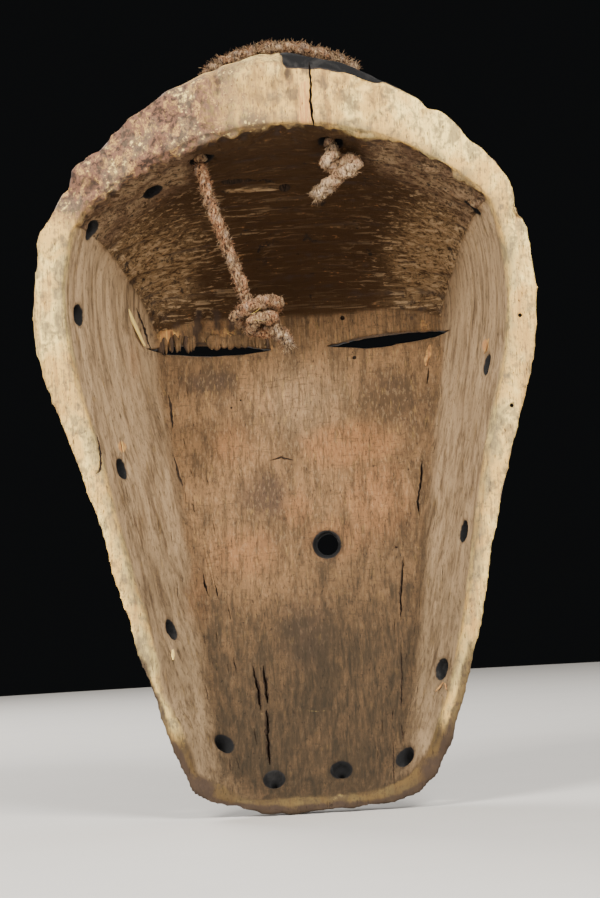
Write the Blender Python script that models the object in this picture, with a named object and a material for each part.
"""A deep hollow face mask, carved from one block of wood, with a knotted fibre rope.

The mask hangs upright from the rope over its crown, and the origin is that hang point.
Lengths below are written in the carver's frame, in millimetres: the flat back rim lies
in the plane y = 0, the face looks toward -Y, the wearer's side is +Y, and z = 0 is the
level of the chin. place() turns them into metres from the hang point.
"""

import math

import bmesh
import bpy
from mathutils import Vector

MM = 0.001
HANG_POINT = Vector((0, -25.5, 303.2))

# Outline of the rim, half of it, from the middle of the chin up to the crown.
RIM_OUTER = (
    (0, 1.5), (20, 1.8), (34, 3.5), (44, 8.5), (50, 17), (56, 32), (62, 50),
    (70, 80), (77.5, 110), (84.3, 135), (91.5, 158), (96.3, 178), (98.5, 200),
    (97.3, 218), (93, 236), (85, 250.5), (73, 264), (57, 277), (38, 287),
    (19, 292.5), (0, 294),
)
RIM_INNER = (
    (0, 5), (20, 5.6), (33, 7.6), (41.5, 12), (46.5, 19.5), (52, 33), (57.5, 50),
    (64.5, 80), (70.5, 110), (75.5, 135), (80.8, 158), (85.5, 178), (88, 200),
    (87, 218), (82.5, 235), (73, 245.5), (62, 253.5), (48, 261), (32, 267),
    (16, 270.5), (0, 271.5),
)
STEPS_PER_SPAN = 2  # mesh steps between two stations of the outline
FACE_CENTRE = 150  # height that the mesh rings shrink toward

# The hollow.
FLOOR_GAIN, FLOOR_POWER = 2.36, 0.7065  # depth of the face wall above the chin edge
WALL_SHARE = 0.31  # share of the half width that a side wall leans over
ARCH_RADIUS, ARCH_CENTRE = 114.8, 156.7  # inner edge of the rim over the forehead
CEILING_DEPTH, CEILING_DROP, CEILING_POWER = 100, 78, 2.6
HOLLOW_BLEND = 9  # radius in the corners of the hollow
HOLLOW_RINGS = (
    1, 0.985, 0.965, 0.94, 0.915, 0.888, 0.86, 0.83, 0.8, 0.768, 0.735, 0.7,
    0.66, 0.61, 0.55, 0.48, 0.4, 0.32, 0.24, 0.15, 0.07,
)

# The outside.
OUTER_RINGS = 21
OUTER_WALL_SHARE = 0.27
CROWN_SQUARENESS = 3.1
CHIN_ROUNDING = 6
CROWN_RISE, CROWN_RISE_DEPTH, CROWN_RISE_REACH = 9, 24, 60

# Openings cut through the wall: x and z of each on the inner surface.
EYE_X, EYE_Z, EYE_HEIGHT = (13, 63.5), (190.5, 193), 4.8
MOUTH_X, MOUTH_Z, MOUTH_RADIUS, MOUTH_FLARE = -8, 105.6, 4.7, 6.6
LACING_HOLES = (
    (77, 236), (52, 250), (83.5, 202), (70, 140), (53.5, 75), (35, 29), (16, 14.5),
    (-10.5, 16.5), (-35.5, 20.5), (-52, 53.5), (-64, 107), (-77, 173), (-75.5, 236),
)
LACING_RADIUS, LACING_FLARE = 3.2, 4.6
HOLE_SIDES = 14

# The rope and its route, points every few diameters along its middle.
ROPE_DIAMETER = 5.2
FLEX_END, FRAYED_END = 0.08, 0.7  # share of the diameter left where it bends, and frays
ROPE_HOLE_RADIUS, ROPE_HOLE_FLARE = 3.9, 6.2
LEFT_INNER, LEFT_OUTER = (31.4, -17, 261.8), (30, -30, 294.5)
RIGHT_INNER, RIGHT_OUTER = (-20.4, -17, 264.3), (-32.5, -29, 292.8)
SPAN_ROUTE = (
    (31.5, -16.5, 260.4), (31.5, -16.5, 263), (31, -20, 270), (30.4, -24, 280),
    (29.9, -27.6, 289.5),
    (29.4, -29, 294.5), (27.6, -29, 298.2), (24, -28.2, 300.6), (18, -27, 302.8),
    (10, -26, 304.9), (0, -25.5, 305.9), (-10, -26, 304.9), (-18, -27, 302.7),
    (-25, -28.2, 300.2), (-29.4, -29.2, 297.7), (-31.8, -29.4, 294.3),
    (-31.4, -28.2, 290.6), (-28.4, -25, 283.5), (-24.2, -20.8, 273.8),
    (-20.6, -16.9, 266.2), (-20.4, -16.5, 263.8),
)
TAIL_ROUTE = (
    (31.5, -16.5, 260.0), (31.5, -16.5, 257.4), (30.4, -16.5, 251), (28.6, -16.4, 243),
    (26, -16.4, 234), (23.4, -16.5, 225), (21, -16.5, 216), (19.4, -16.5, 209.5),
)
TAIL_KNOT_CENTRE, TAIL_KNOT_SIZE = (14.5, -16.5, 201.3), (18.5, 12, 15.6)
TAIL_END_ROUTE = ((7.6, -16.5, 195.6), (4.4, -16.5, 191.5), (2.4, -16.5, 186.5))
STUB_KNOT_CENTRE, STUB_KNOT_SIZE = (-24.2, -16.5, 255.7), (15.5, 10, 10.4)
STUB_END_ROUTE = ((-20.5, -16.5, 248.7), (-16.7, -16.5, 246.0), (-12.0, -16.5, 242.3))


def place(point):
    """A point of the carver's frame, in metres from the hang point."""
    return (Vector(point) - HANG_POINT) * MM


def smooth_min(a, b, radius):
    """The smaller of two depths, with the step between them rounded."""
    radius = min(radius, max(min(a, b), 0))
    if radius <= 0:
        return min(a, b)
    overlap = max(radius - abs(a - b), 0) / radius
    return min(a, b) - overlap * overlap * radius / 4


def ease(low, high, value):
    """0 below low, 1 above high, with a smooth climb between."""
    t = min(max((value - low) / (high - low), 0), 1)
    return t * t * (3 - 2 * t)


def bump(x, z, at, reach):
    """A soft round rise of height 1."""
    dx, dz = (x - at[0]) / reach[0], (z - at[1]) / reach[1]
    return math.exp(-(dx * dx + dz * dz))


def spline(points, steps):
    """Points along a smooth curve through the given ones."""
    ends = [points[0], *points, points[-1]]
    ends[0] = (-points[1][0], points[1][1])
    ends[-1] = (-points[-2][0], points[-2][1])
    line = []
    for i in range(1, len(ends) - 2):
        a, b, c, d = (Vector(p) for p in ends[i - 1 : i + 3])
        for k in range(steps):
            t = k / steps
            line.append(
                0.5
                * (2 * b + (c - a) * t + (2 * a - 5 * b + 4 * c - d) * t**2
                   + (3 * b - a - 3 * c + d) * t**3)
            )
    return [*line, Vector(points[-1])]


def outline(half):
    """The whole closed outline, from the chin up the +X side and down the other."""
    up = spline(half, STEPS_PER_SPAN)
    down = [Vector((-p.x, p.y)) for p in reversed(up[1:-1])]
    return up + down


def half_width(half, z):
    """Half the width of an outline at a height, up to the shoulders."""
    shoulder = 14
    z = min(max(z, half[0][1]), half[shoulder][1])
    for (x0, z0), (x1, z1) in zip(half[:shoulder], half[1 : shoulder + 1]):
        if z <= z1:
            return x0 + (x1 - x0) * (z - z0) / (z1 - z0)
    return half[shoulder][0]


def hollow_depth(x, z):
    """How far the inner surface lies behind the rim plane."""
    chin_edge = RIM_INNER[0][1] + 6.2 * ease(18, 44, abs(x))
    floor = FLOOR_GAIN * max(z - chin_edge, 0) ** FLOOR_POWER
    wall = floor * max(1 - abs(x) / half_width(RIM_INNER, z), 0) / WALL_SHARE
    arch = ARCH_CENTRE + math.sqrt(max(ARCH_RADIUS**2 - x * x, 0))
    fall = min(max((arch - z) / CEILING_DROP, 0), 1)
    ceiling = CEILING_DEPTH * (1 - (1 - fall) ** CEILING_POWER)
    return smooth_min(smooth_min(floor, wall, HOLLOW_BLEND), ceiling, HOLLOW_BLEND)


def face_depth(x, z):
    """How far the front of the face lies before the rim plane."""
    z = min(z, 215)
    middle = 22 + 0.62 * z - 0.00093 * z * z
    return middle * (1 - 0.04 * (x / 62) ** 2)


def face_relief(x, z):
    """Nose, brow, eye hollows, cheeks and the crest of the carved face."""
    side = abs(x)
    nose = 12 * math.exp(-((side / 11) ** 2)) * ease(206, 150, z) * ease(117, 139, z)
    brow = 4 * math.exp(-(((z - 208) / 9) ** 2)) * ease(82, 50, side)
    socket = 3.5 * bump(side, z, (36, 190), (21, 10))
    cheek = 3 * bump(side, z, (44, 150), (22, 26))
    chin = 3 * bump(side, z, (0, 50), (22, 18))
    crest = 3 * math.exp(-((side / 9) ** 2)) * ease(222, 240, z)
    return nose + brow - socket + cheek + chin + crest


def side_rise(x, z):
    """Share of the face's depth reached by the side walls and the chin, from 0 to 1."""
    reach = half_width(RIM_OUTER, z)
    wall = max(reach - abs(x), 0) / (reach * OUTER_WALL_SHARE)
    chin_edge = RIM_OUTER[0][1] + 7 * ease(22, 48, abs(x))
    chin = 1 - math.exp(-max(z - chin_edge, 0) / CHIN_ROUNDING)
    return smooth_min(wall, 1, 0.4) * chin


def outer_point(edge, step):
    """One point of the outside, step rings in from an outline point."""
    t = (step / OUTER_RINGS) ** 1.1
    rise = (edge.y - FACE_CENTRE) / math.hypot(edge.x, edge.y - FACE_CENTRE)
    crown = ease(0.45, 0.88, rise)
    wall_in = 1 - t * 2 * OUTER_WALL_SHARE
    side_in = wall_in if t < 0.5 else (1 - OUTER_WALL_SHARE) * (2 - 2 * t)
    turn = math.radians(90 * t**1.5)
    crown_in = math.cos(turn) ** (2 / CROWN_SQUARENESS)
    crown_up = math.sin(turn) ** (2 / CROWN_SQUARENESS)
    inward = side_in + crown * (crown_in - side_in)
    x, z = edge.x * inward, FACE_CENTRE + (edge.y - FACE_CENTRE) * inward
    side_up = side_rise(x, z) if step else 0
    upward = side_up + crown * (crown_up - side_up)
    depth = upward * face_depth(x, z) + upward**4 * face_relief(x, z)
    swell = CROWN_RISE * depth / CROWN_RISE_DEPTH * math.exp(1 - depth / CROWN_RISE_DEPTH)
    reach = max(1 - (x / CROWN_RISE_REACH) ** 2, 0) ** 2 * ease(250, 275, z)
    knob = 5.5 * math.exp(-((x - 4) / 8) ** 2 - ((depth - 52) / 11) ** 2)
    return Vector((x, -depth, z + (swell + knob) * reach))


def hollow_point(edge, share):
    """One point of the inner surface, at a share of the way out to the rim."""
    x, z = edge.x * share, FACE_CENTRE + (edge.y - FACE_CENTRE) * share
    return Vector((x, 0 if share == 1 else -hollow_depth(x, z), z))


def material(name, colour, roughness):
    """A plain surface for one sub-part."""
    made = bpy.data.materials.new(name)
    made.use_nodes = True
    shader = made.node_tree.nodes["Principled BSDF"]
    shader.inputs["Base Color"].default_value = (*colour, 1)
    shader.inputs["Roughness"].default_value = roughness
    shader.inputs["Metallic"].default_value = 0
    return made


def add_object(name, data, surface):
    """Put a mesh or a curve in the scene."""
    made = bpy.data.objects.new(name, data)
    data.materials.append(surface)
    bpy.context.scene.collection.objects.link(made)
    return made


def add_rings(bm, rings, pole):
    """Skin a stack of rings and close it with a fan to the pole."""
    rows = [[bm.verts.new(place(p)) for p in ring] for ring in rings]
    for near, far in zip(rows, rows[1:]):
        for i in range(len(near)):
            bm.faces.new((near[i - 1], near[i], far[i], far[i - 1]))
    tip = bm.verts.new(place(pole))
    for i in range(len(rows[-1])):
        bm.faces.new((rows[-1][i - 1], rows[-1][i], tip))
    return rows[0]


def cutter_tube(bm, start, end, stations):
    """A closed turned cutter; stations give share of the way along, and radius."""
    axis = (end - start).normalized()
    aside = axis.orthogonal().normalized()
    across = axis.cross(aside)
    rows = []
    for share, radius in stations:
        middle = start.lerp(end, share)
        rows.append([])
        for k in range(HOLE_SIDES):
            turn = math.tau * k / HOLE_SIDES
            spoke = aside * math.cos(turn) + across * math.sin(turn)
            rows[-1].append(bm.verts.new(place(middle + spoke * radius)))
    for near, far in zip(rows, rows[1:]):
        for k in range(HOLE_SIDES):
            bm.faces.new((near[k - 1], near[k], far[k], far[k - 1]))
    bm.faces.new(rows[0])
    bm.faces.new(rows[-1])


def cutter_slit(bm, side):
    """A lens-shaped cutter for one eye slit, from the hollow to beyond the face."""
    steps = 8
    upper, lower = [], []
    for k in range(steps + 1):
        t = k / steps
        x = EYE_X[0] + (EYE_X[1] - EYE_X[0]) * t
        z = EYE_Z[0] + (EYE_Z[1] - EYE_Z[0]) * t**2
        open_by = 0.5 + (EYE_HEIGHT - 0.5) * math.sin(math.pi * t) ** 0.7
        upper.append((side * x, z + open_by * 0.62))
        lower.append((side * x, z - open_by * 0.38))
    loop = upper + lower[::-1]
    near = [bm.verts.new(place((x, -60, z))) for x, z in loop]
    far = [bm.verts.new(place((x, -135, z))) for x, z in loop]
    for k in range(len(loop)):
        bm.faces.new((near[k - 1], near[k], far[k], far[k - 1]))
    bm.faces.new(near)
    bm.faces.new(far)


def wall_axis(x, z):
    """A point on the inner surface, and the way straight out through the wall."""
    step = 0.5
    slope_x = (hollow_depth(x + step, z) - hollow_depth(x - step, z)) / (2 * step)
    slope_z = (hollow_depth(x, z + step) - hollow_depth(x, z - step)) / (2 * step)
    outward = Vector((-slope_x, -1, -slope_z)).normalized()
    return Vector((x, -hollow_depth(x, z), z)), outward


def make_openings():
    """Every cutter of the mask in one hidden object."""
    bm = bmesh.new()
    for side in (1, -1):
        cutter_slit(bm, side)
    for x, z in LACING_HOLES:
        mouth, outward = wall_axis(x, z)
        start, end = mouth - outward * 4, mouth + outward * 28
        flare = LACING_FLARE + 1.4
        cutter_tube(bm, start, end, ((0, flare), (0.24, LACING_RADIUS), (1, LACING_RADIUS)))
    mouth = Vector((MOUTH_X, -hollow_depth(MOUTH_X, MOUTH_Z), MOUTH_Z))
    start, end = mouth + Vector((0, 6, 0)), mouth - Vector((0, 36, 0))
    flare = MOUTH_FLARE + 2.2
    cutter_tube(bm, start, end, ((0, flare), (0.24, MOUTH_RADIUS), (1, MOUTH_RADIUS)))
    for inner, outer in ((LEFT_INNER, LEFT_OUTER), (RIGHT_INNER, RIGHT_OUTER)):
        inner, outer = Vector(inner), Vector(outer)
        way = (outer - inner).normalized()
        start, end = inner - way * 6, outer + way * 8
        wide, snug = ROPE_HOLE_FLARE, ROPE_HOLE_RADIUS
        cutter_tube(bm, start, end, ((0, wide), (0.22, snug), (0.74, snug), (0.9, wide), (1, wide)))
    bmesh.ops.recalc_face_normals(bm, faces=bm.faces)
    mesh = bpy.data.meshes.new("openings")
    bm.to_mesh(mesh)
    bm.free()
    cutter = bpy.data.objects.new("openings", mesh)
    bpy.context.scene.collection.objects.link(cutter)
    cutter.hide_render = True
    cutter.display_type = "WIRE"
    return cutter


def make_mask(surface):
    """The carved block: outside, hollow, flat rim between them, and its openings."""
    outside, inside = outline(RIM_OUTER), outline(RIM_INNER)
    bm = bmesh.new()
    rings = [[outer_point(p, k) for p in outside] for k in range(OUTER_RINGS)]
    outer_edge = add_rings(bm, rings, outer_point(outside[0], OUTER_RINGS))
    rings = [[hollow_point(p, share) for p in inside] for share in HOLLOW_RINGS]
    inner_edge = add_rings(bm, rings, hollow_point(inside[0], 0))
    for i in range(len(outside)):
        bm.faces.new((outer_edge[i - 1], outer_edge[i], inner_edge[i], inner_edge[i - 1]))
    bmesh.ops.recalc_face_normals(bm, faces=bm.faces)
    mesh = bpy.data.meshes.new("mask_body")
    bm.to_mesh(mesh)
    bm.free()
    body = add_object("mask_body", mesh, surface)
    cut = body.modifiers.new("openings", "BOOLEAN")
    cut.operation = "DIFFERENCE"
    cut.solver = "EXACT"
    cut.object = make_openings()


def make_rope(name, route, surface, pivot=HANG_POINT, first=1.0, last=1.0):
    """Rope along its route, origin at the pivot; first and last thin down its ends."""
    curve = bpy.data.curves.new(name, "CURVE")
    curve.dimensions = "3D"
    curve.bevel_depth = ROPE_DIAMETER / 2 * MM
    curve.bevel_resolution = 2
    curve.render_resolution_u = 0
    curve.use_fill_caps = True
    line = curve.splines.new("POLY")
    line.points.add(len(route) - 1)
    for point, stop in zip(line.points, route):
        point.co = (*(Vector(stop) - Vector(pivot)) * MM, 1)
    line.points[0].radius = first
    line.points[-1].radius = last
    add_object(name, curve, surface).location = place(pivot)


def make_knot(name, centre, size, surface, pivot):
    """The outer shape of a knot, with its origin at the pivot of its rope end."""
    bm = bmesh.new()
    bmesh.ops.create_uvsphere(bm, u_segments=20, v_segments=12, radius=0.5)
    bmesh.ops.scale(bm, vec=Vector(size) * MM, verts=bm.verts)
    bmesh.ops.translate(bm, vec=(Vector(centre) - Vector(pivot)) * MM, verts=bm.verts)
    mesh = bpy.data.meshes.new(name)
    bm.to_mesh(mesh)
    bm.free()
    add_object(name, mesh, surface).location = place(pivot)


def main():
    for old in list(bpy.data.objects):
        bpy.data.objects.remove(old, do_unlink=True)
    wood = material("carved_wood", (0.36, 0.25, 0.16), 0.8)
    fibre = material("plant_fibre_rope", (0.2, 0.13, 0.085), 0.95)
    make_mask(wood)
    tail_pivot, stub_pivot = TAIL_ROUTE[0], SPAN_ROUTE[-1]
    make_rope("forehead_rope", SPAN_ROUTE, fibre, first=FLEX_END)
    make_rope("rope_tail", TAIL_ROUTE, fibre, tail_pivot, first=FLEX_END)
    make_knot("tail_knot", TAIL_KNOT_CENTRE, TAIL_KNOT_SIZE, fibre, tail_pivot)
    make_rope("tail_end", TAIL_END_ROUTE, fibre, tail_pivot, last=FRAYED_END)
    make_knot("stub_knot", STUB_KNOT_CENTRE, STUB_KNOT_SIZE, fibre, stub_pivot)
    make_rope("stub_end", STUB_END_ROUTE, fibre, stub_pivot, last=FRAYED_END)


main()
